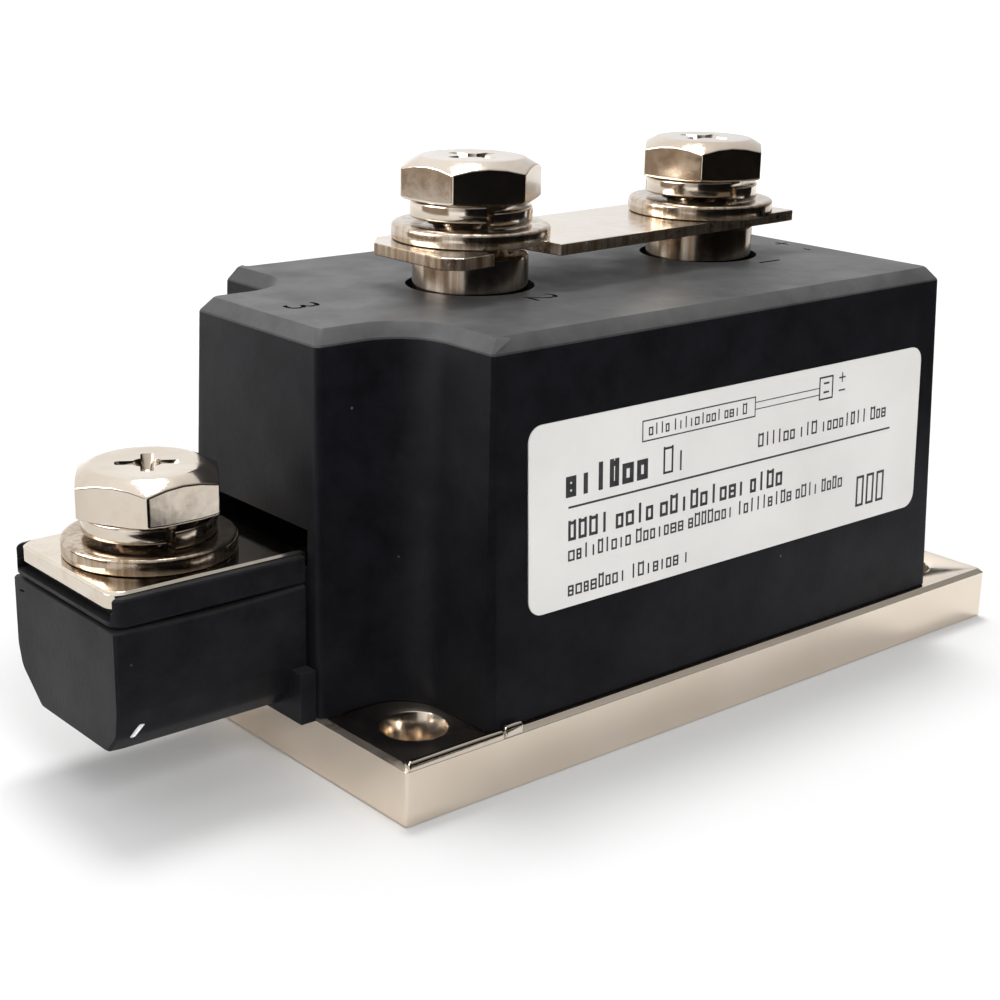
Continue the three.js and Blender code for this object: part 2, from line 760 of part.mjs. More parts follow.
place("control_board", controlBoard(), BOARD_GREEN);
spacerPlaces.forEach(([x, y], i) => {
  const spacer = upright(1.9, PLATE.thick + SEAT_GAP, BOARD.bottom - SEAT_GAP, x, y, 12);
  place(`board_spacer_${i + 1}`, spacer, BLACK_PLASTIC);
});
[[-1.5, -17], [-1.5, 17]].forEach(([x, y], i) => {
  const low = boardTop + SEAT_GAP;
  const chip = boxBetween([x - 4.3, y - 3.2, low], [x + 4.3, y + 3.2, low + 3.5]);
  place(`optocoupler_${i + 1}`, chip, BLACK_PLASTIC);
});
place("input_capacitor", upright(3.1, boardTop + SEAT_GAP, boardTop + 7.5, 0, -8, FINE), STEEL);
place("control_socket", controlSocket(), SOCKET_WHITE);
["minus", "plus"].forEach((sign, i) => place(`control_pin_${sign}`, controlPin(pinPlaces[i]), BRASS));

const linkSeat = POST.top + SEAT_GAP + LINK.thick;
terminalHardware(1, POST.x[0], linkSeat, 13, -102);
terminalHardware(2, POST.x[1], linkSeat, 6, -112);
terminalHardware(3, BLOCK.x, BUSBAR.top, -30, -102);

export default relay;
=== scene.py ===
import json
import math
import random

import bmesh
import bpy
from mathutils import Matrix, Vector


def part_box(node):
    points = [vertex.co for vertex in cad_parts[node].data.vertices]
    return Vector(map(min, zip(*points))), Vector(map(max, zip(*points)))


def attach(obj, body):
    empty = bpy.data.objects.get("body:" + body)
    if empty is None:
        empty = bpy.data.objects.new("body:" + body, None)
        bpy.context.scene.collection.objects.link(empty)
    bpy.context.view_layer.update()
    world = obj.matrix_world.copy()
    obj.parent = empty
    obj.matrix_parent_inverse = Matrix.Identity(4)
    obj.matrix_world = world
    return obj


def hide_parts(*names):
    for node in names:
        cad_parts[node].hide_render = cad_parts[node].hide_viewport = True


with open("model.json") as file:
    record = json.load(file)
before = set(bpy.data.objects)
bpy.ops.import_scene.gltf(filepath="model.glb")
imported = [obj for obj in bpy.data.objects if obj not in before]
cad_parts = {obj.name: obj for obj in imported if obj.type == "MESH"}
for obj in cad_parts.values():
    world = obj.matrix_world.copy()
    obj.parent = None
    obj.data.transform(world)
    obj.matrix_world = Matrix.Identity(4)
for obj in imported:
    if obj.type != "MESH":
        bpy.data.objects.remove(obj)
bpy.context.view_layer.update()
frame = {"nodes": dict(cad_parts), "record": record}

MM = 0.001
nodes = frame["nodes"]


def span(node):
    """A CAD node's box in millimetres."""
    low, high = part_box(node)
    return Vector(low) / MM, Vector(high) / MM


# ---------------------------------------------------------------- mesh helpers (millimetres in, metres out)


def object_from(name, bm):
    """Turns a finished mesh under construction into an object in the scene."""
    bmesh.ops.recalc_face_normals(bm, faces=bm.faces)
    mesh = bpy.data.meshes.new(name)
    bm.to_mesh(mesh)
    bm.free()
    made = bpy.data.objects.new(name, mesh)
    bpy.context.scene.collection.objects.link(made)
    return made


def loft(name, rings, close=False):
    """A closed solid through rings of equal length. close joins the last ring to the first."""
    bm = bmesh.new()
    verts = [[bm.verts.new(Vector(p) * MM) for p in ring] for ring in rings]
    count = len(rings[0])
    pairs = list(zip(verts, verts[1:])) + ([(verts[-1], verts[0])] if close else [])
    for low, high in pairs:
        for i in range(count):
            j = (i + 1) % count
            bm.faces.new((low[i], low[j], high[j], high[i]))
    if not close:
        bm.faces.new(verts[0][::-1])
        bm.faces.new(verts[-1])
    return object_from(name, bm)


def lathe(name, profile, steps=128, centre=(0, 0)):
    """A body of revolution about an upright axis. Profile points on the axis become single points."""
    bm = bmesh.new()
    columns = []
    for r, z in profile:
        if r < 1e-6:
            columns.append([bm.verts.new(Vector((centre[0], centre[1], z)) * MM)])
            continue
        ring = []
        for i in range(steps):
            a = 2 * math.pi * i / steps
            place = Vector((centre[0] + r * math.cos(a), centre[1] + r * math.sin(a), z))
            ring.append(bm.verts.new(place * MM))
        columns.append(ring)
    closed = profile[0][0] > 1e-6 and profile[-1][0] > 1e-6
    pairs = list(zip(columns, columns[1:])) + ([(columns[-1], columns[0])] if closed else [])
    for a, b in pairs:
        for i in range(steps):
            j = (i + 1) % steps
            if len(a) == 1 and len(b) == 1:
                continue
            if len(a) == 1:
                bm.faces.new((a[0], b[j], b[i]))
            elif len(b) == 1:
                bm.faces.new((a[i], a[j], b[0]))
            else:
                bm.faces.new((a[i], a[j], b[j], b[i]))
    return object_from(name, bm)


def inset(outline, distance):
    """A counter-clockwise outline moved inwards, with mitred corners."""
    count = len(outline)
    moved = []
    for i, point in enumerate(outline):
        before, after = outline[i - 1], outline[(i + 1) % count]
        a = Vector((point[0] - before[0], point[1] - before[1])).normalized()
        b = Vector((after[0] - point[0], after[1] - point[1])).normalized()
        normal = Vector((-a.y - b.y, a.x + b.x)).normalized()
        stretch = distance / max(0.3, normal.dot(Vector((-a.y, a.x))))
        moved.append((point[0] + normal.x * stretch, point[1] + normal.y * stretch))
    return moved


def layered(name, outline, levels, radii=None, steps=5):
    """A solid through copies of an outline; each level is (height, inset, share of the width)."""
    rings = []
    for z, by, width in levels:
        level = inset(outline, by)
        if radii is not None:
            level = rounded_outline(level, radii, steps)
        rings.append([(x, y * width, z) for x, y in level])
    return loft(name, rings)


def arc(cx, cy, r, start, end, steps):
    """Points along an arc; the angles are in degrees."""
    points = []
    for i in range(steps + 1):
        a = math.radians(start + (end - start) * i / steps)
        points.append((cx + r * math.cos(a), cy + r * math.sin(a)))
    return points


def rounded_outline(points, radius, steps=6):
    """A counter-clockwise outline with each corner rounded; radius is one number or one for each corner."""
    out = []
    count = len(points)
    for i, p in enumerate(points):
        r = radius[i] if isinstance(radius, (list, tuple)) else radius
        p = Vector(p)
        a = (Vector(points[i - 1]) - p).normalized()
        b = (Vector(points[(i + 1) % count]) - p).normalized()
        half = a.angle(b) / 2
        if r <= 0 or half > math.radians(88):
            out.append(tuple(p))
            continue
        reach = r / math.tan(half)
        centre = p + (a + b).normalized() * (r / math.sin(half))
        first, last = p + a * reach - centre, p + b * reach - centre
        turn = first.angle_signed(last)
        for k in range(steps + 1):
            t = -turn * k / steps
            c, s = math.cos(t), math.sin(t)
            out.append((centre.x + first.x * c - first.y * s, centre.y + first.x * s + first.y * c))
    return out


def rectangle(x0, y0, x1, y1):
    return [(x0, y0), (x1, y0), (x1, y1), (x0, y1)]


def box_mm(name, low, high):
    return layered(name, rectangle(low[0], low[1], high[0], high[1]), [(low[2], 0, 1), (high[2], 0, 1)])


def cylinder(name, r, z0, z1, x=0, y=0, steps=96):
    return lathe(name, [(0, z0), (r, z0), (r, z1), (0, z1)], steps, (x, y))


def cut(piece, *tools, operation="DIFFERENCE"):
    """The piece less its tools, which are used up."""
    for tool in tools:
        modifier = piece.modifiers.new("cut", "BOOLEAN")
        modifier.object = tool
        modifier.operation = operation
        modifier.solver = "EXACT"
    depsgraph = bpy.context.evaluated_depsgraph_get()
    mesh = bpy.data.meshes.new_from_object(piece.evaluated_get(depsgraph))
    piece.modifiers.clear()
    piece.data = mesh
    for tool in tools:
        bpy.data.objects.remove(tool)
    return piece


def smooth(piece, angle=30):
    """Smooth shading up to the angle; many-sided faces, which are flat, stay flat."""
    for polygon in piece.data.polygons:
        polygon.use_smooth = len(polygon.vertices) < 6
    piece.data.set_sharp_from_angle(angle=math.radians(angle))
    return piece


def soften(piece, width, segments=3, angle=32):
    """Rounds every edge that is sharper than the angle."""
    smooth(piece, 180)
    modifier = piece.modifiers.new("edges", "BEVEL")
    modifier.width = width * MM
    modifier.segments = segments
    modifier.limit_method = "ANGLE"
    modifier.angle_limit = math.radians(angle)
    modifier.harden_normals = True
    modifier.miter_outer = "MITER_ARC"
    modifier.use_clamp_overlap = True
    return piece


def dress(piece, material, body="case", node=None):
    """Gives a finished piece its material and the body it moves with, and hides the CAD node it stands for.
    """
    piece.data.materials.clear()
    piece.data.materials.append(material)
    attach(piece, body)
    if node:
        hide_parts(node)
    return piece


# ---------------------------------------------------------------- materials


class Finish:
    """A short way to write a node material; every texture is laid out in object space."""

    def __init__(self, name):
        self.material = bpy.data.materials.new(name)
        self.material.use_nodes = True
        self.tree = self.material.node_tree
        self.shader = self.tree.nodes["Principled BSDF"]
        self.place = self.tree.nodes.new("ShaderNodeTexCoord").outputs["Object"]

    def node(self, kind, inputs=None, **settings):
        made = self.tree.nodes.new("ShaderNode" + kind)
        for key, value in settings.items():
            setattr(made, key, value)
        for key, value in (inputs or {}).items():
            if isinstance(value, bpy.types.NodeSocket):
                self.tree.links.new(value, made.inputs[key])
            else:
                made.inputs[key].default_value = value
        return made

    def noise(self, scale, detail=3, stretch=(1, 1, 1), roughness=0.55):
        mapped = self.node("Mapping", {"Vector": self.place, "Scale": stretch})
        return self.node(
            "TexNoise",
            {"Vector": mapped.outputs[0], "Scale": scale, "Detail": detail, "Roughness": roughness},
        ).outputs["Fac"]

    def specks(self, scale, share):
        """Small round dots scattered at random: 1 inside, 0 outside."""
        cells = self.node("TexVoronoi", {"Vector": self.place, "Scale": scale, "Randomness": 1.0})
        return self.ramp(cells.outputs["Distance"], [(share * 0.6, (1, 1, 1, 1)), (share, (0, 0, 0, 1))])

    def ramp(self, value, stops):
        made = self.node("ValToRGB", {"Fac": value})
        points = made.color_ramp.elements
        while len(points) < len(stops):
            points.new(0.5)
        for point, (position, colour) in zip(points, stops):
            point.position = position
            point.color = colour
        return made.outputs["Color"]

    def span(self, value, low, high, start=0.3, end=0.7):
        return self.node(
            "MapRange", {"Value": value, "From Min": start, "From Max": end, "To Min": low, "To Max": high}
        ).outputs["Result"]

    def mix(self, factor, a, b, blend="MIX"):
        made = self.node("Mix", {"Factor": factor}, data_type="RGBA", blend_type=blend)
        for key, value in ((6, a), (7, b)):
            if isinstance(value, bpy.types.NodeSocket):
                self.tree.links.new(value, made.inputs[key])
            else:
                made.inputs[key].default_value = value
        return made.outputs[2]

    def math(self, operation, a, b):
        made = self.node("Math", operation=operation)
        for key, value in ((0, a), (1, b)):
            if isinstance(value, bpy.types.NodeSocket):
                self.tree.links.new(value, made.inputs[key])
            else:
                made.inputs[key].default_value = value
        return made.outputs[0]

    def bump(self, height, depth_mm, strength=1.0, normal=None):
        inputs = {"Height": height, "Distance": depth_mm * MM, "Strength": strength}
        if normal is not None:
            inputs["Normal"] = normal
        return self.node("Bump", inputs).outputs["Normal"]

    def set(self, **inputs):
        names = {
            "colour": "Base Color",
            "roughness": "Roughness",
            "metallic": "Metallic",
            "normal": "Normal",
            "ior": "IOR",
            "specular": "Specular IOR Level",
            "coat": "Coat Weight",
            "coat_roughness": "Coat Roughness",
            "anisotropy": "Anisotropic",
        }
        for key, value in inputs.items():
            socket = self.shader.inputs[names[key]]
            if isinstance(value, bpy.types.NodeSocket):
                self.tree.links.new(value, socket)
            else:
                socket.default_value = value
        return self.material


def grey(level, alpha=1.0):
    return (level, level, level, alpha)


def moulded_plastic(name, dark, light, top, rough=(0.36, 0.52), grain=0.022, speck=0.035):
    """Black moulding, faintly mottled, with painted light: the faces that point up get a lighter colour."""
    f = Finish(name)
    cloud = f.noise(190, 7, roughness=0.68)
    fine = f.noise(2600, 2)
    tone = f.ramp(cloud, [(0.36, dark), (0.64, light)])
    mottle = f.mix(f.span(fine, 0, 0.35), tone, light)
    top = f.mix(f.span(cloud, 0, 1, 0.36, 0.66), (top[0] * 0.72, top[1] * 0.72, top[2] * 0.72, 1), top)
    dust = f.specks(170, speck)
    colour = f.mix(f.math("MULTIPLY", dust, f.span(f.noise(35, 2), 0, 1, 0.52, 0.7)), mottle, grey(0.3))
    # Painted light: faces that point up are mixed towards the lighter top colour, at a random strength.
    facing = f.node("SeparateXYZ", {0: f.node("NewGeometry").outputs["True Normal"]}).outputs["Z"]
    painted_top_light_share = f.span(f.noise(40, 4), 0.7, 1.0)
    colour = f.mix(f.math("MULTIPLY", f.span(facing, 0, 1, 0.05, 0.6), painted_top_light_share), colour, top)
    surface = f.bump(f.noise(1500, 4, roughness=0.7), grain, 1.0, f.bump(f.noise(260, 2), 0.012))
    wear = f.span(f.noise(120, 5), rough[0], rough[1])
    return f.set(colour=colour, roughness=wear, normal=surface, specular=0.1)


def nickel(name, colour, deep, rough, brush=None, grain=0.004, stain=0.0, lines=0.0):
    """Plated metal: a slight cloudiness, fine handling marks and, if asked for, brushed lines."""
    f = Finish(name)
    tone = f.ramp(f.noise(55, 5), [(0.3, deep), (0.68, colour)])
    if lines:
        tone = f.mix(f.span(f.noise(1.0, 3, brush), 0, lines, 0.42, 0.62), tone, (0.2, 0.12, 0.06, 1))
    if stain:
        patch = f.span(f.noise(240, 6, roughness=0.7), 0, stain, 0.5, 0.72)
        tone = f.mix(patch, tone, (0.34, 0.22, 0.11, 1))
    fine = f.noise(900, 3)
    surface = f.bump(fine, grain)
    if brush:
        surface = f.bump(f.noise(1.0, 2, brush), 0.006, 1.0, surface)
    marks = f.noise(420, 6, roughness=0.75)
    return f.set(
        colour=tone,
        metallic=1.0,
        roughness=f.span(marks, rough[0], rough[1]),
        normal=surface,
    )


def plain_finish(name, dark, light, rough, metallic=0.0, scale=160, grain=0.01):
    f = Finish(name)
    tone = f.ramp(f.noise(scale, 4), [(0.3, dark), (0.7, light)])
    surface = f.bump(f.noise(scale * 9, 3), grain)
    wear = f.span(f.noise(scale * 2, 3), rough[0], rough[1])
    return f.set(colour=tone, metallic=metallic, roughness=wear, normal=surface)


# The third colour of each plastic is painted light, laid on the faces that point up.
case_plastic = moulded_plastic(
    "case_plastic",
    (0.003, 0.003, 0.004, 1),
    (0.007, 0.007, 0.0092, 1),
    grey(0.088),
)
block_plastic = moulded_plastic(
    "block_plastic",
    (0.004, 0.004, 0.005, 1),
    (0.010, 0.010, 0.0125, 1),
    grey(0.02),
    rough=(0.34, 0.48),
    grain=0.026,
    speck=0.05,
)
plate_nickel = nickel(
    "plate_nickel",
    (0.82, 0.72, 0.61, 1),
    (0.74, 0.635, 0.525, 1),
    (0.12, 0.24),
    brush=(30, 30, 1600),
    grain=0.002,
)
bright_nickel = nickel(
    "bright_nickel",
    (0.7, 0.64, 0.56, 1),
    (0.6, 0.53, 0.44, 1),
    (0.05, 0.14),
    stain=0.25,
)
screw_nickel = nickel(
    "screw_nickel",
    (0.66, 0.59, 0.51, 1),
    (0.5, 0.42, 0.33, 1),
    (0.07, 0.18),
    brush=(900, 900, 30),
    stain=0.22,
)
post_nickel = nickel(
    "post_nickel",
    (0.6, 0.54, 0.47, 1),
    (0.16, 0.11, 0.07, 1),
    (0.1, 0.22),
    brush=(700, 700, 12),
    stain=0.35,
    lines=0.7,
)
bar_nickel = nickel(
    "bar_nickel",
    (0.7, 0.64, 0.57, 1),
    (0.6, 0.52, 0.43, 1),
    (0.12, 0.26),
    grain=0.008,
)
sheared_nickel = nickel(
    "sheared_nickel",
    (0.5, 0.42, 0.34, 1),
    (0.12, 0.085, 0.06, 1),
    (0.2, 0.42),
    brush=(1500, 1500, 90),
    grain=0.06,
    stain=0.5,
    lines=0.85,
)
washer_nickel = nickel(
    "washer_nickel",
    (0.64, 0.56, 0.47, 1),
    (0.36, 0.28, 0.2, 1),
    (0.1, 0.24),
    brush=(1300, 1300, 40),
    grain=0.02,
    stain=0.4,
    lines=0.55,
)


# ---------------------------------------------------------------- base plate

plate_low, plate_high = span("base_plate")
PLATE_TOP = plate_high.z
PLATE_HOLES = {"x": (-46, 46), "y": (-21, 21), "radius": 3.25, "sink_radius": 4.85}
CLAMP_HOLES = {"x": (20.5, -21.1), "y": (-19.5, 19.5), "radius": 3.2}
# Raised burrs on the near edge: name, ends along x, gap to the near face, top.
BURRS = (("plate_bead", -53.6, -39.6, 0.02, 7.95), ("plate_nub", -39.4, -36.6, 0.1, 8.3))


def base_plate():
    edge = 0.6
    outline = rectangle(plate_low.x, plate_low.y, plate_high.x, plate_high.y)
    levels = [(0, 0.2, 1), (0.2, 0, 1), (PLATE_TOP - edge, 0, 1), (PLATE_TOP, edge, 1)]
    slab = layered("plate_body", outline, levels, 0.4, 4)
    bore, sink = PLATE_HOLES["radius"], PLATE_HOLES["sink_radius"]
    profile = [
        (0, -1),
        (bore + 0.2, -1),
        (bore + 0.2, 0),
        (bore, 0.25),
        (bore, PLATE_TOP - 2.3),
        (sink - 0.8, PLATE_TOP - 0.4),
        (sink, PLATE_TOP),
        (sink, PLATE_TOP + 1),
        (0, PLATE_TOP + 1),
    ]
    drills = [lathe("drill", profile, 96, (x, y)) for x in PLATE_HOLES["x"] for y in PLATE_HOLES["y"]]
    for x in CLAMP_HOLES["x"]:
        for y in CLAMP_HOLES["y"]:
            drills.append(cylinder("drill", CLAMP_HOLES["radius"], 1.5, PLATE_TOP + 1, x, y, 48))
    cut(slab, *drills)
    soften(slab, 0.08, 2, 28)
    dress(slab, plate_nickel, node="base_plate")
    near = plate_low.y
    for name, x0, x1, gap, top in BURRS:
        outline = rounded_outline(rectangle(x0, near + gap, x1, near + 1.1 - gap), 0.3, 6)
        rounding = [(top - 0.5, 0, 1), (top - 0.3, 0.06, 1), (top - 0.1, 0.2, 1), (top, 0.42, 1)]
        burr = layered(name, outline, [(6.6, 0, 1)] + rounding)
        dress(smooth(burr, 80), bright_nickel)


# ---------------------------------------------------------------- case

case_low, case_high = span("housing")
CASE = {
    "right": case_high.x,
    "left": -40.1,
    "notch_wall": -41.2,
    "neck_end": case_low.x,
    "half": case_high.y,
    "neck_half": 13.9,
    "notch_radius": 5.8,
    "top": case_high.z,
    "foot": case_low.z,
    "drop": 1.7,
    "rim": 1.3,
    "narrow": 0.974,
}
CASE["shoulder"] = CASE["top"] - CASE["drop"]
CASE["lean"] = 0.024 * (CASE["shoulder"] - CASE["foot"])
POSTS = (20.5, -21.1)
# Engraved figures: text, x, y, size.
FIGURES = [
    ("3", -46.6, 0.4, 6.6),
    ("2", -19.5, -11.8, 6.4),
    ("1", 23.2, -10.8, 6.2),
    ("+", 36.0, -1.8, 5.6),
    ("-", 36.0, -7.2, 5.6),
]


def case_outline(fillet_steps=14):
    c = CASE
    r = c["notch_radius"]
    far = [(c["left"], c["half"]), (c["notch_wall"], c["half"] - 0.8)]
    far += arc(c["notch_wall"] - r, c["neck_half"] + r, r, 0, -90, fillet_steps)
    far += [(c["neck_end"], c["neck_half"])]
    near = [(x, -y) for x, y in reversed(far)]
    corners = [(c["right"], -c["half"]), (c["right"], c["half"])]
    return corners + far + near


def engraving(text, x, y, size, depth=0.28):
    """Cutters for shallow figures in the top, read from the left end of the case."""
    curve = bpy.data.curves.new("figure", "FONT")
    curve.body = text
    curve.size = size * MM
    curve.extrude = depth * MM
    curve.offset = -0.03 * MM
    curve.align_x = "CENTER"
    curve.align_y = "CENTER"
    curve.resolution_u = 4
    letters = bpy.data.objects.new("figure", curve)
    bpy.context.scene.collection.objects.link(letters)
    depsgraph = bpy.context.evaluated_depsgraph_get()
    mesh = bpy.data.meshes.new_from_object(letters.evaluated_get(depsgraph))
    bpy.data.objects.remove(letters)
    place = Matrix.Translation(Vector((x, y, CASE["top"])) * MM)
    mesh.transform(place @ Matrix.Rotation(-math.pi / 2, 4, "Z"))
    tool = bpy.data.objects.new("figure", mesh)
    bpy.context.scene.collection.objects.link(tool)
    return tool


def housing():
    c = CASE
    outline = case_outline()
    last = len(outline)
    sharp = {0, 1, 2, last - 1}
    neck = {i for i, p in enumerate(outline) if abs(p[0] - c["neck_end"]) < 0.01}
    radii = [0.7 if i in sharp else 0.9 if i in neck else 0 for i in range(last)]
    lean, narrow = c["lean"], c["narrow"]
    shell = layered(
        "case_shell",
        outline,
        [
            (c["foot"], 0.1, 1),
            (c["foot"] + 0.15, 0, 1),
            (c["shoulder"] - 0.12, lean - 0.02, narrow),
            (c["shoulder"] + 0.12, lean + 0.07, narrow),
            (c["top"] - 0.12, lean + c["rim"] - 0.1, narrow),
            (c["top"], lean + c["rim"] + 0.08, narrow),
        ],
        radii,
    )
    wall, neck_wall, roof = 2.6, 1.9, 3
    room, neck_room = c["half"] - wall, c["neck_half"] - neck_wall
    plans = [
        rectangle(c["notch_wall"] + wall, -room, c["right"] - wall, room),
        rectangle(c["neck_end"] + wall, -neck_room, c["notch_wall"] + 2 * wall, neck_room),
    ]
    heights = [(c["foot"] - 1, 0, 1), (c["top"] - roof, lean, narrow)]
    rooms = [layered("room", plan, heights) for plan in plans]
    holes = [cylinder("hole", 8.2, c["top"] - roof - 1, c["top"] + 1, x, 0, 128) for x in POSTS]
    slot_low, slot_high, slot_half = 25.65, 30.25, 11.2
    slot_start, slot_end = c["neck_end"] - 1, c["neck_end"] + wall + 2
    holes.append(box_mm("slot", (slot_start, -slot_half, slot_low), (slot_end, slot_half, slot_high)))
    socket_low, socket_high = span("control_socket")
    holes.append(
        box_mm(
            "window",
            (c["right"] - wall - 4, socket_low.y - 0.3, socket_low.z - 0.25),
            (c["right"] + 1, socket_high.y + 0.3, socket_high.z + 0.45),
        )
    )
    cut(shell, *rooms)
    cut(shell, *holes)
    for figure in FIGURES:
        cut(shell, engraving(*figure))
    smooth(shell, 24)
    dress(shell, case_plastic, node="housing")
    return shell


# ---------------------------------------------------------------- terminal 3

block_low, block_high = span("terminal_block")
rim_low, rim_high = span("terminal_rim")
bus_low, bus_high = span("busbar")
SCREW_3_X = -68


def terminal_block():
    left, right = block_low.x, block_high.x
    half, bottom, seam = 11.9, 8.8, block_high.z
    section = rounded_outline(
        [
            (-half, seam),
            (-half, bottom + 5.4),
            (-half + 0.45, bottom + 2.6),
            (-half + 2.9, bottom),
            (half - 5.4, bottom),
            (half - 0.8, bottom + 3.8),
            (half, bottom + 6.6),
            (half, seam),
        ],
        [0.5, 3, 2.4, 1.2, 1.4, 2.6, 3, 0.5],
        6,
    )
    steps = 26
    rings = []
    for k in range(steps + 1):
        t = k / steps
        x = left + (right - left) * t
        pull = 0.35 if k == 0 else 0.1 if k == 1 else 0
        x = left + 0.35 if k == 1 else x
        ring = []
        for y, z in inset(section, pull):
            wave = -0.35 * math.sin(math.pi * t) if z > seam - 1.2 else 0
            ring.append((x, y, z + wave))
        rings.append(ring)
    body = loft("block_body", rings)
    foot_low = 7.6
    foot = box_mm("block_foot_tool", (right - 2.1, -13.75, foot_low), (right, 13.75, 14))
    cut(body, foot, operation="UNION")
    pocket = layered("pocket", arc(SCREW_3_X, 0, 9.6, 30, 330, 5), [(seam - 8.5, 0, 1), (seam + 1, 0, 1)])
    cut(body, pocket, cylinder("bore", 5.75, bottom + 2.2, seam, SCREW_3_X, 0, 64))
    soften(body, 0.22, 2, 30)
    dress(body, block_plastic, node="terminal_block")
    # Two small pale grey flecks laid on the block: one on its lower near edge, one on its left end.
    pale_flecks = Finish("pale_flecks")
    fleck_tone = pale_flecks.ramp(pale_flecks.noise(4000, 2), [(0.3, grey(0.45)), (0.6, grey(0.85))])
    fleck_tone = pale_flecks.set(colour=fleck_tone, roughness=pale_flecks.span(pale_flecks.noise(900, 2), 0.6, 0.8))
    corners = [(-77.9, 11.4), (-77.4, 11.45), (-76.2, 12.55), (-76.7, 12.6)]
    near = [[(x, -11.815 - out, z) for x, z in corners] for out in (-0.25, 0.03)]
    dress(loft("pale_fleck_near", near), fleck_tone)
    corners = [(9.2, 22.35), (10.3, 22.2), (10.35, 22.45), (9.3, 22.6)]
    end = [[(left + 0.2 - out, y, z) for y, z in corners] for out in (0, 0.2)]
    dress(loft("pale_fleck_left", end), fleck_tone)


def terminal_rim():
    left, right = rim_low.x, rim_high.x
    low, high = rim_low.z, rim_high.z
    outline = rectangle(left, rim_low.y, right, rim_high.y)
    levels = [(low, 0.25, 1), (low + 0.3, 0, 1)]
    levels += [(high - 0.35, 0, 1), (high - 0.1, 0.12, 1), (high, 0.35, 1)]
    frame_body = layered("rim_body", outline, levels, [1.7, 0.1, 0.1, 1.7], 8)
    under = bus_high.z - 2 - 0.05
    channel = box_mm("channel", (left - 3, -11.1, under), (right + 1, 11.1, high + 1))
    gap = box_mm("gap", (left - 1, -10.9, low + 0.7), (left + 1.6, 10.9, under + 0.5))
    hole = cylinder("hole", 5.45, low - 1, under + 1, SCREW_3_X, 0, 96)
    cut(frame_body, channel, gap, hole)
    soften(frame_body, 0.1, 2, 30)
    dress(frame_body, block_plastic, node="terminal_rim")


def busbar():
    high = bus_high.z
    thick = 2
    left, riser = bus_low.x, -47.8
    levels = [(high - thick, 0.1, 1), (high - thick + 0.15, 0, 1), (high - 0.3, 0, 1), (high, 0.3, 1)]
    tongue = layered("busbar_body", rectangle(left, -11, riser, 11), levels, [2, 0.1, 0.1, 2], 10)
    rise = box_mm("rise", (riser - 3, -10.2, bus_low.z), (riser - 1, 10.2, high - 0.4))
    runner = box_mm("runner", (riser - 2.9, -10.2, bus_low.z), (bus_high.x, 10.2, bus_low.z + thick))
    cut(tongue, rise, runner, operation="UNION")
    cut(tongue, cylinder("hole", 5.3, high - thick - 1, high + 1, SCREW_3_X, 0, 96))
    soften(tongue, 0.1, 2, 28)
    dress(tongue, bright_nickel, node="busbar")


# ---------------------------------------------------------------- posts and link bar


def terminal_post(number):
    low, high = span(f"terminal_post_{number}")
    x = (low.x + high.x) / 2
    top, base = high.z, low.z
    profile = [
        (0, base), (11.2, base), (11.4, base + 0.2), (11.4, base + 3.8), (11.2, base + 4), (7.35, base + 4),
        (7.35, top - 0.5), (7.3, top - 0.25), (7.1, top - 0.06), (6.85, top), (5.5, top),
        (5.15, top - 0.35), (5.15, top - 17), (0, top - 19),
    ]
    post = smooth(lathe(f"post_{number}", profile, 160, (x, 0)), 35)
    dress(post, post_nickel, node=f"terminal_post_{number}")


def link_bar():
    low, high = span("link_bar")
    turn = math.radians(4)
    near, far, left, right = -7.5, 10.6, -54.4, 11.7
    corners = [
        (left + 2, near),
        (right, near),
        (right, far),
        (left + 4, far),
        (left + 0.8, far - 3.2),
        (left, near + 2),
    ]
    plan = rounded_outline(corners, [0.25, 0.35, 0.6, 0.4, 0.4, 0.3], 4)
    c, s = math.cos(turn), math.sin(turn)
    plan = [(POSTS[0] + x * c - y * s, x * s + y * c) for x, y in plan]
    bar = layered("link_body", plan, [(low.z, 0, 1), (high.z, 0, 1)])
    mid = POSTS[1]
    hole = 5.15
    opening = [(mid - hole, -20), (mid + hole + 2.3, -20), (mid + hole, 0), (mid - hole, 0)]
    mouth = layered("mouth", opening, [(low.z - 1, 0, 1), (high.z + 1, 0, 1)])
    holes = [cylinder("hole", hole, low.z - 1, high.z + 1, x, 0, 96) for x in POSTS]
    cut(bar, mouth, *holes)
    soften(bar, 0.16, 3, 28)
    dress(bar, bar_nickel, node="link_bar")
    bar.data.materials.append(sheared_nickel)
    for polygon in bar.data.polygons:
        polygon.material_index = 1 if abs(polygon.normal.z) < 0.3 else 0


# ---------------------------------------------------------------- screws and washers


def rounded_hexagon(flats, radius=0.3, steps=4):
    """Points round a hexagon whose corner points along -Y, with small rounded corners."""
    apothem = flats / 2
    centre = (apothem - radius) / math.cos(math.pi / 6)
    points = []
    for i in range(6):
        a = math.radians(-90 + 60 * i)
        cx, cy = centre * math.cos(a), centre * math.sin(a)
        for k in range(steps + 1):
            b = a + math.radians(-30 + 60 * k / steps)
            points.append(Vector((cx + radius * math.cos(b), cy + radius * math.sin(b))))
        after = math.radians(-90 + 60 * (i + 1))
        start = points[-1]
        b = after + math.radians(-30)
        cx, cy = centre * math.cos(after), centre * math.sin(after)
        end = Vector((cx + radius * math.cos(b), cy + radius * math.sin(b)))
        for share in (0.02, 0.25, 0.5, 0.75, 0.98):
            points.append(start.lerp(end, share))
    return points


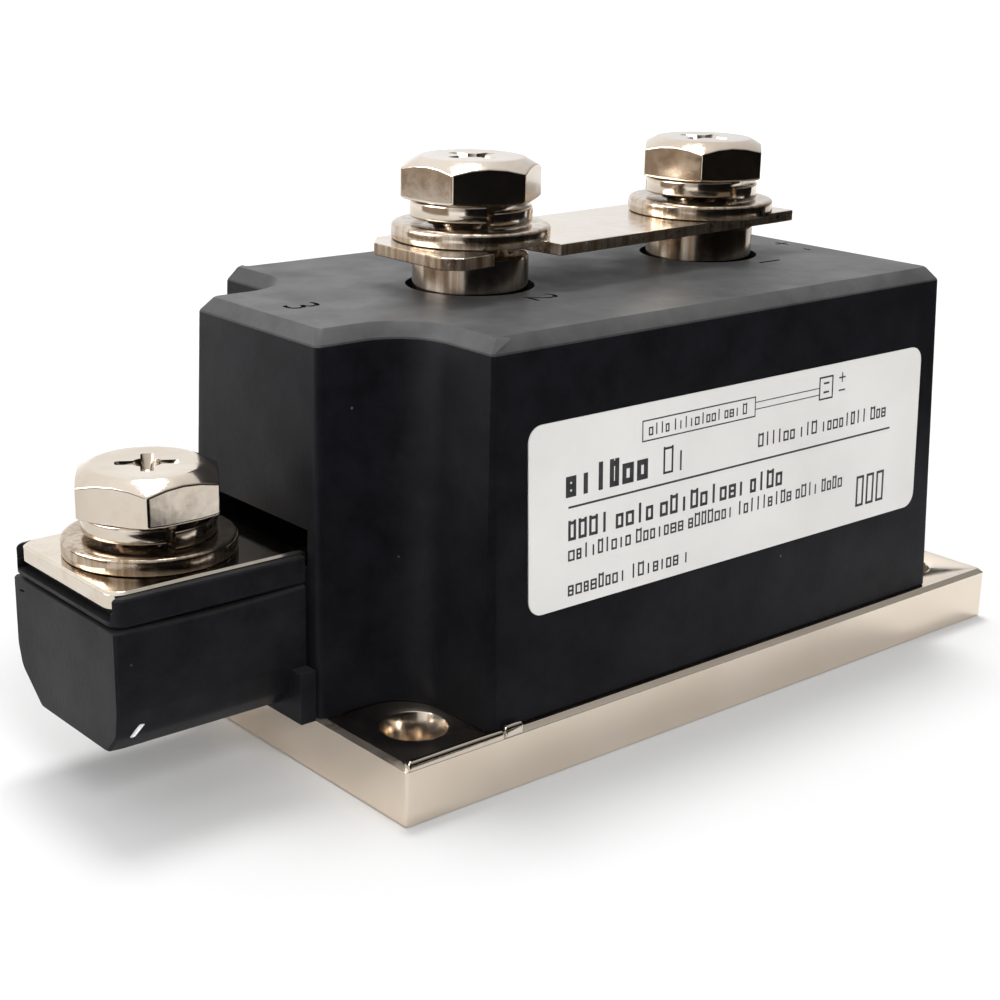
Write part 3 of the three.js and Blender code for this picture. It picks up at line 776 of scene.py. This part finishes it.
def hex_head(name):
    flats, height, top_radius = 15.8, HEAD_HEIGHT, 6.55
    corner = flats / 2 / math.cos(math.pi / 6)
    outline = rounded_hexagon(flats)
    bottom_reach = corner - 0.55

    def ring(radius_of, height_of):
        out = []
        for p in outline:
            r = p.length
            new = radius_of(r)
            out.append((p.x / r * new, p.y / r * new, height_of(r)))
        return out

    def wall_top(r):
        return height - (r - top_radius) * 0.56

    def wall_foot(r):
        return max(0.08, (r - bottom_reach) * 0.6)

    rings = [
        ring(lambda r: 6.6, lambda r: 0.0),
        ring(lambda r: min(r - 0.1, bottom_reach), lambda r: 0.0),
        ring(lambda r: r - 0.02, lambda r: wall_foot(r) - 0.03),
        ring(lambda r: r, lambda r: wall_foot(r) + 0.06),
        ring(lambda r: r, lambda r: wall_foot(r) + 0.2),
        ring(lambda r: r, lambda r: wall_top(r) - 0.26),
        ring(lambda r: r, lambda r: wall_top(r) - 0.12),
        ring(lambda r: r - 0.05, lambda r: wall_top(r) - 0.02),
        ring(lambda r: r - 0.2, lambda r: wall_top(r) + 0.09),
        ring(lambda r: (r + top_radius) / 2, lambda r: height - (r - top_radius) * 0.28),
        ring(lambda r: top_radius + 0.18, lambda r: height - 0.1),
        ring(lambda r: top_radius, lambda r: height - 0.03),
        ring(lambda r: top_radius - 0.25, lambda r: height),
        ring(lambda r: top_radius * 0.75, lambda r: height - 0.02),
    ]
    head = loft(name, rings)
    arms = []
    for quarter in (0, 1):
        levels = []
        for z, reach, half in ((height - 1.6, 2.2, 0.4), (height + 0.1, 3.75, 0.78)):
            plan = rounded_outline(rectangle(-reach, -half, reach, half), half * 0.6, 4)
            levels.append([(x, y, z) for x, y in plan])
        arm = loft("arm", levels)
        arm.data.transform(Matrix.Rotation(quarter * math.pi / 2, 4, "Z"))
        arms.append(arm)
    over = height + 0.4
    dimple = lathe("dimple", [(0, height - 2.2), (1.3, height - 1.4), (1.9, over), (0, over)], 32)
    cut(head, arms[0], arms[1], dimple)
    return head


def threaded_shank(name, length=20.0, pitch=1.5, major=4.9, minor=4.12, neck=4.45):
    """An upright thread below z 0, with a plain neck under the head and a chamfered tip."""
    steps = 48
    levels = int(length / (pitch / 8))
    rings = []
    for k in range(levels + 1):
        z = -length + length * k / levels
        ring = []
        for i in range(steps):
            a = 2 * math.pi * i / steps
            phase = (z / pitch - i / steps) % 1.0
            wave = 1 - abs(2 * phase - 1)
            r = minor + (major - minor) * min(1.0, max(0.0, wave * 1.25 - 0.12))
            if z > -1.6:
                r = neck
            tip = z + length
            if tip < 0.9:
                r = min(r, 3.9 + tip * 1.1)
            ring.append((r * math.cos(a), r * math.sin(a), z))
        rings.append(ring)
    turns = [2 * math.pi * i / steps for i in range(steps)]
    rings.append([(neck * math.cos(a), neck * math.sin(a), 0.6) for a in turns])
    return loft(name, rings)


def spring_ring(name, outer, inner, thick, rise, gap):
    """A split ring of rounded square section that climbs by the rise."""
    section = rounded_outline(rectangle(inner, 0, outer, thick), 0.28, 3)
    steps = 144
    turn = 2 * math.pi - gap
    bm = bmesh.new()
    rings = []
    for k in range(steps + 1):
        a = gap / 2 + turn * k / steps
        z = rise * k / steps
        places = [Vector((r * math.cos(a), r * math.sin(a), z + dz)) for r, dz in section]
        rings.append([bm.verts.new(place * MM) for place in places])
    count = len(section)
    for low, high in zip(rings, rings[1:]):
        for i in range(count):
            j = (i + 1) % count
            bm.faces.new((low[i], low[j], high[j], high[i]))
    bm.faces.new(rings[0][::-1])
    bm.faces.new(rings[-1])
    return object_from(name, bm)


def stand(piece, x, z, degrees=0.0):
    """Moves a piece that is modelled at the origin to its place on the centre line."""
    piece.data.transform(
        Matrix.Translation(Vector((x, 0, z)) * MM) @ Matrix.Rotation(math.radians(degrees), 4, "Z")
    )
    return piece


# How far each head is turned, and where each spring washer is split, in degrees.
HEAD_TURNS = {1: 13, 2: 6, 3: -30}
SPLITS = {1: -102, 2: -112, 3: -102}
HEAD_HEIGHT = 5.2


def terminal_hardware(number):
    low, high = span(f"terminal_screw_{number}")
    x = (low.x + high.x) / 2
    head_z = high.z - HEAD_HEIGHT
    head = smooth(stand(hex_head(f"screw_head_{number}"), x, head_z, HEAD_TURNS[number]), 30)
    dress(head, screw_nickel, f"screw_{number}", f"terminal_screw_{number}")
    shank = smooth(stand(threaded_shank(f"screw_thread_{number}"), x, head_z), 25)
    dress(shank, screw_nickel, f"screw_{number}", None)
    low, high = span(f"spring_washer_{number}")
    spring = spring_ring(f"spring_ring_{number}", 7.7, 5.3, 2.1, 0.8, 0.14)
    smooth(stand(spring, x, low.z, SPLITS[number]), 40)
    dress(spring, screw_nickel, f"washers_{number}", f"spring_washer_{number}")
    low, high = span(f"flat_washer_{number}")
    z0, z1 = low.z, high.z
    profile = [
        (5.3, z0 + 0.1), (5.4, z0), (9.75, z0), (9.93, z0 + 0.08), (10, z0 + 0.3), (10, z1 - 0.45),
        (9.9, z1 - 0.2), (9.7, z1 - 0.06), (9.4, z1), (5.6, z1), (5.4, z1 - 0.08), (5.3, z1 - 0.25),
    ]
    washer = smooth(lathe(f"washer_{number}", profile, 160, (x, 0)), 45)
    dress(washer, washer_nickel, f"washers_{number}", f"flat_washer_{number}")


# ---------------------------------------------------------------- label

def wall_y(z):
    """Where the case's leaning near wall is at a height."""
    c = CASE
    share = (z - c["foot"]) / (c["shoulder"] - c["foot"])
    top = -(c["half"] - c["lean"]) * c["narrow"]
    return -c["half"] + (top + c["half"]) * share


def on_wall(name, outline, out, thick):
    """A thin flat shape laid on the near wall; the outline is in x and z."""
    rings = []
    for depth in (out, out + thick):
        rings.append([(x, wall_y(z) - depth, z) for x, z in outline])
    return loft(name, rings)


def label():
    base = rounded_outline(rectangle(-35.1, 20.3, 36.8, 43.0), 2.0, 8)
    card = on_wall("label_card", base, 0.05, 0.16)
    smooth(card, 30)
    f = Finish("label_film")
    tone = f.ramp(f.noise(60, 4), [(0.3, (0.6, 0.59, 0.57, 1)), (0.7, (0.66, 0.65, 0.63, 1))])
    film = f.set(
        colour=tone, roughness=f.span(f.noise(300, 3), 0.38, 0.52), normal=f.bump(f.noise(900, 2), 0.004)
    )
    dress(card, film, node="label")
    f = Finish("label_ink")
    tone = f.ramp(f.noise(900, 3), [(0.3, (0.012, 0.012, 0.014, 1)), (0.7, (0.03, 0.03, 0.034, 1))])
    ink = f.set(colour=tone, roughness=f.span(f.noise(500, 2), 0.4, 0.55))
    bm = bmesh.new()

    def stroke(x0, z0, x1, z1):
        rings = []
        for depth in (0.2, 0.225):
            places = [Vector((x, wall_y(z) - depth, z)) for x, z in rectangle(x0, z0, x1, z1)]
            rings.append([bm.verts.new(place * MM) for place in places])
        for i in range(4):
            j = (i + 1) % 4
            bm.faces.new((rings[0][i], rings[0][j], rings[1][j], rings[1][i]))
        bm.faces.new(rings[0][::-1])
        bm.faces.new(rings[1])

    def frame_of(x0, z0, x1, z1, t):
        stroke(x0, z0, x1, z0 + t)
        stroke(x0, z1 - t, x1, z1)
        stroke(x0, z0 + t, x0 + t, z1 - t)
        stroke(x1 - t, z0 + t, x1, z1 - t)

    def glyph(kind, x, z, wide, tall, bar):
        """One abstract mark: upright bars joined by short level ones."""
        uprights, levels = kind
        for at, low_end, high_end in uprights:
            left = x + (wide - bar) * at
            stroke(left, z + tall * low_end, left + bar, z + tall * high_end)
        for at in levels:
            level = z + (tall - bar) * at
            stroke(x + bar, level, x + wide - bar * 0.5, level + bar)

    marks = (
        (((0, 0, 1), (1, 0, 1)), (0, 1)),
        (((0, 0, 1), (1, 0, 1)), (0, 1)),
        (((0, 0, 1), (1, 0, 1)), (0, 0.5, 1)),
        (((0, 0, 1.36), (1, 0, 1.36)), (0, 1.36)),
        (((0.5, 0, 1.36),), ()),
        (((0.5, 0, 1),), ()),
    )

    def greeked(x0, x1, z, size, heavy, seed):
        """A row of abstract marks, grouped like words."""
        chance = random.Random(seed)
        tall, bar = size * 0.7, size * heavy
        x = x0
        while x < x1 - size * 0.5:
            for _ in range(chance.randint(3, 9)):
                wide = size * chance.uniform(0.42, 0.56)
                if x + wide > x1:
                    break
                glyph(chance.choice(marks), x, z, wide, tall, bar)
                x += wide + size * 0.15
            x += size * 0.3

    frame_of(-17.1, 38.3, 3.0, 40.95, 0.16)
    greeked(-16.0, 2.2, 38.95, 1.5, 0.13, 3)
    stroke(3.0, 40.1, 15.3, 40.22)
    stroke(3.0, 39.2, 15.3, 39.32)
    frame_of(15.3, 38.5, 18.1, 41.6, 0.22)
    stroke(16.2, 40.55, 17.3, 40.8)
    stroke(16.2, 39.35, 17.3, 39.6)
    stroke(19.3, 40.9, 20.6, 41.1)
    stroke(19.85, 40.35, 20.05, 40.9)
    stroke(19.85, 41.1, 20.05, 41.65)
    stroke(19.3, 39.2, 20.6, 39.4)
    greeked(-29.4, -14.0, 33.7, 3.6, 0.19, 5)
    greeked(-13.4, -8.4, 33.7, 3.6, 0.08, 8)
    greeked(3.7, 30.3, 34.2, 1.9, 0.13, 11)
    stroke(-29.0, 32.35, 30.6, 32.6)
    greeked(-29.0, 10.0, 28.4, 2.6, 0.15, 21)
    greeked(-29.0, 21.8, 25.9, 1.9, 0.13, 23)
    greeked(-29.0, -8.1, 21.6, 1.9, 0.13, 27)
    for x in (24.0, 26.15, 28.3):
        frame_of(x, 22.4, x + 1.6, 26.7, 0.36)
    print_marks = object_from("label_print", bm)
    dress(print_marks, ink)


# ---------------------------------------------------------------- pieces that keep their CAD shape


def dress_cad():
    steel = plain_finish("zinc_steel_finish", (0.42, 0.43, 0.45, 1), (0.58, 0.59, 0.6, 1), (0.25, 0.4), 1.0)
    disc = plain_finish("contact_finish", (0.34, 0.34, 0.36, 1), (0.44, 0.44, 0.46, 1), (0.25, 0.4), 1.0)
    spring = plain_finish("spring_finish", (0.12, 0.12, 0.13, 1), (0.2, 0.2, 0.21, 1), (0.3, 0.45), 1.0)
    ceramic = plain_finish("ceramic_finish", (0.76, 0.75, 0.72, 1), (0.84, 0.83, 0.8, 1), (0.5, 0.65))
    silicon = plain_finish("silicon_finish", (0.05, 0.055, 0.07, 1), (0.1, 0.105, 0.12, 1), (0.12, 0.25))
    amber = plain_finish("amber_finish", (0.26, 0.13, 0.04, 1), (0.38, 0.21, 0.08, 1), (0.4, 0.55))
    lead = plain_finish("lead_finish", (0.62, 0.6, 0.52, 1), (0.72, 0.7, 0.62, 1), (0.4, 0.5))
    board = plain_finish("board_finish", (0.015, 0.09, 0.04, 1), (0.03, 0.14, 0.06, 1), (0.25, 0.4))
    chip = plain_finish("chip_finish", (0.012, 0.012, 0.012, 1), (0.022, 0.022, 0.022, 1), (0.4, 0.55))
    can = plain_finish("can_finish", (0.2, 0.22, 0.28, 1), (0.3, 0.32, 0.38, 1), (0.25, 0.4), 1.0)
    socket = plain_finish("socket_finish", (0.62, 0.58, 0.46, 1), (0.72, 0.68, 0.56, 1), (0.4, 0.55))
    brass = plain_finish("brass_finish", (0.62, 0.42, 0.15, 1), (0.74, 0.54, 0.24, 1), (0.18, 0.3), 1.0)
    finishes = {
        "zinc_steel": steel,
        "contact_disc": disc,
        "spring_steel": spring,
        "ceramic": ceramic,
        "silicon": silicon,
        "amber_plastic": amber,
        "lead_insulation": lead,
        "circuit_board": board,
        "chip_plastic": chip,
        "capacitor_can": can,
        "socket_plastic": socket,
        "brass": brass,
        "black_plastic": block_plastic,
    }
    replaced = set(REPLACED)
    slots = {s["node"]: s["material_slot"] for s in frame["record"]["subparts"]}
    for name, node in nodes.items():
        if name in replaced:
            continue
        finish = finishes[slots[name]]
        if node.material_slots:
            for holder in node.material_slots:
                holder.material = finish
        else:
            node.data.materials.append(finish)
        modifier = node.modifiers.new("edges", "BEVEL")
        modifier.width = 0.12 * MM
        modifier.segments = 2
        modifier.limit_method = "ANGLE"
        modifier.angle_limit = math.radians(40)


REPLACED = ["base_plate", "housing", "terminal_block", "terminal_rim", "busbar", "link_bar", "label"]
REPLACED += [f"terminal_post_{n}" for n in (1, 2)]
for part in ("terminal_screw", "spring_washer", "flat_washer"):
    REPLACED += [f"{part}_{n}" for n in (1, 2, 3)]

base_plate()
housing()
terminal_block()
terminal_rim()
busbar()
for n in (1, 2):
    terminal_post(n)
link_bar()
for n in (1, 2, 3):
    terminal_hardware(n)
label()
dress_cad()


# ---------------------------------------------------------------- floor, light and camera


def floor():
    mesh = bpy.data.meshes.new("floor")
    reach = 6.0
    corners = [(x, y, 0) for x, y in rectangle(-reach, -reach, reach, reach)]
    mesh.from_pydata(corners, [], [(0, 1, 2, 3)])
    plane = bpy.data.objects.new("floor", mesh)
    bpy.context.scene.collection.objects.link(plane)
    f = Finish("floor_paper")
    tone = f.ramp(f.noise(8, 2), [(0.3, grey(0.6)), (0.7, grey(0.62))])
    away = f.node("VectorMath", {0: f.place}, operation="LENGTH").outputs["Value"]
    glow = f.span(away, 0.0, 0.62, 0.22, 0.9)
    f.tree.links.new(glow, f.shader.inputs["Emission Strength"])
    f.shader.inputs["Emission Color"].default_value = (1, 1, 1, 1)
    mesh.materials.append(f.set(colour=tone, roughness=0.9, specular=0.1))


def backdrop():
    """A pale wall far round the floor, seen only by the camera."""
    bm = bmesh.new()
    radius, sides = 5.8, 24
    turns = [a / sides * math.tau for a in range(sides)]
    rings = []
    for z in (-0.1, 6):
        rings.append([bm.verts.new((radius * math.cos(a), radius * math.sin(a), z)) for a in turns])
    for i in range(sides):
        j = (i + 1) % sides
        bm.faces.new((rings[0][i], rings[0][j], rings[1][j], rings[1][i]))
    wall = object_from("backdrop", bm)
    f = Finish("backdrop_paper")
    f.shader.inputs["Emission Color"].default_value = (1, 1, 1, 1)
    f.tree.links.new(f.span(f.noise(0.5, 2), 0.97, 1.0), f.shader.inputs["Emission Strength"])
    wall.data.materials.append(f.set(colour=grey(0.02), roughness=0.9, specular=0.0))
    wall.visible_diffuse = False
    wall.visible_glossy = False
    wall.visible_shadow = False


def card(name, centre, size, facing, level):
    """A flat card that only shows in reflections."""
    bm = bmesh.new()
    half_w, half_h = size[0] / 2, size[1] / 2
    facing = Vector(facing).normalized()
    side = Vector((0, 0, 1)).cross(facing)
    side = side.normalized() if side.length > 0.01 else Vector((1, 0, 0))
    up = facing.cross(side)
    corners = [(-half_w, -half_h), (half_w, -half_h), (half_w, half_h), (-half_w, half_h)]
    bm.faces.new([bm.verts.new(Vector(centre) + side * a + up * b) for a, b in corners])
    made = object_from(name, bm)
    material = bpy.data.materials.new(name)
    material.use_nodes = True
    tree = material.node_tree
    tree.nodes.remove(tree.nodes["Principled BSDF"])
    emission = tree.nodes.new("ShaderNodeEmission")
    emission.inputs["Color"].default_value = (*level, 1)
    tree.links.new(emission.outputs[0], tree.nodes["Material Output"].inputs["Surface"])
    made.data.materials.append(material)
    made.visible_camera = False
    made.visible_diffuse = False
    made.visible_shadow = False


def softbox(name, centre, target, size, power):
    """A soft rectangular light that faces its target."""
    light = bpy.data.lights.new(name, "AREA")
    light.shape = "RECTANGLE"
    light.size, light.size_y = size
    light.energy = power
    made = bpy.data.objects.new(name, light)
    bpy.context.scene.collection.objects.link(made)
    made.location = centre
    made.rotation_euler = (Vector(target) - Vector(centre)).to_track_quat("-Z", "Y").to_euler()
    return made


def sky():
    """A pale room that is brightest behind and above, and dimmest in front."""
    world = bpy.data.worlds.new("studio")
    bpy.context.scene.world = world
    world.use_nodes = True
    tree = world.node_tree
    background = tree.nodes["Background"]
    place = tree.nodes.new("ShaderNodeTexCoord")
    direction = tree.nodes.new("ShaderNodeVectorMath")
    direction.operation = "DOT_PRODUCT"
    tree.links.new(place.outputs["Generated"], direction.inputs[0])
    direction.inputs[1].default_value = Vector((-0.35, 0.78, 0.5)).normalized()
    ramp = tree.nodes.new("ShaderNodeMapRange")
    ramp.interpolation_type = "SMOOTHSTEP"
    ramp.inputs["From Min"].default_value = -0.6
    ramp.inputs["From Max"].default_value = 0.8
    ramp.inputs["To Min"].default_value = 0.12
    ramp.inputs["To Max"].default_value = 1.25
    tree.links.new(direction.outputs["Value"], ramp.inputs["Value"])
    tree.links.new(ramp.outputs["Result"], background.inputs["Strength"])
    background.inputs["Color"].default_value = (1, 1, 1, 1)


def studio():
    sky()
    softbox("top_light", (0.14, 0.3, 1.2), (0, 0, 0), (0.34, 0.34), 9)
    front = softbox("front_light", (-0.25, -0.9, 0.75), (0, 0, 0), (0.5, 0.5), 9)
    front.visible_glossy = False
    fill = softbox("left_light", (-0.6, 0.25, 0.33), (0, 0, 0.02), (0.5, 0.4), 5.2)
    fill.data.use_shadow = False
    fill.visible_diffuse = False
    card("dark_side", (0.15, 0.07, 0.02), (0.34, 0.038), (-1, 0, 0), (0.006, 0.006, 0.006))
    card("dark_corner", (0.27, -0.2, 0.05), (0.36, 0.1), (-0.7, 0.7, 0), (0.01, 0.009, 0.008))
    card("dark_near", (-0.09, -0.069, 0.0006), (0.2, 0.032), (0, 0, 1), (0.004, 0.004, 0.004))
    card("dark_nearer", (-0.105, -0.1675, 0.0006), (0.17, 0.165), (0, 0, 1), (0.004, 0.004, 0.004))
    card("dark_front", (0.0, -0.27, 0.09), (0.7, 0.18), (0, 1, 0), (0.006, 0.006, 0.006))
    card("brown_front", (-0.05, -0.2, 0.0005), (0.5, 0.14), (0, 0, 1), (0.2, 0.16, 0.12))
    card("tan_left", (-0.36, 0.2, 0.06), (0.5, 0.12), (1, 0, 0), (0.34, 0.26, 0.19))


def camera():
    data = bpy.data.cameras.new("camera")
    data.lens = 64.53
    data.sensor_width = 36
    data.clip_start = 0.01
    data.clip_end = 50
    made = bpy.data.objects.new("camera", data)
    bpy.context.scene.collection.objects.link(made)
    place = Vector((-164.48, -172.41, 96.33)) * MM
    yaw, pitch, roll = 0.7134, 0.3086, 0.0223
    forward = Vector((math.sin(yaw) * math.cos(pitch), math.cos(yaw) * math.cos(pitch), -math.sin(pitch)))
    right = Vector((math.cos(yaw), -math.sin(yaw), 0))
    up = right.cross(forward)
    r = right * math.cos(roll) + up * math.sin(roll)
    u = up * math.cos(roll) - right * math.sin(roll)
    facing = Matrix((r, u, -forward)).transposed().to_4x4()
    made.matrix_world = Matrix.Translation(place) @ facing
    bpy.context.scene.camera = made


floor()
backdrop()
studio()
camera()
bpy.context.scene.view_settings.view_transform = "Standard"
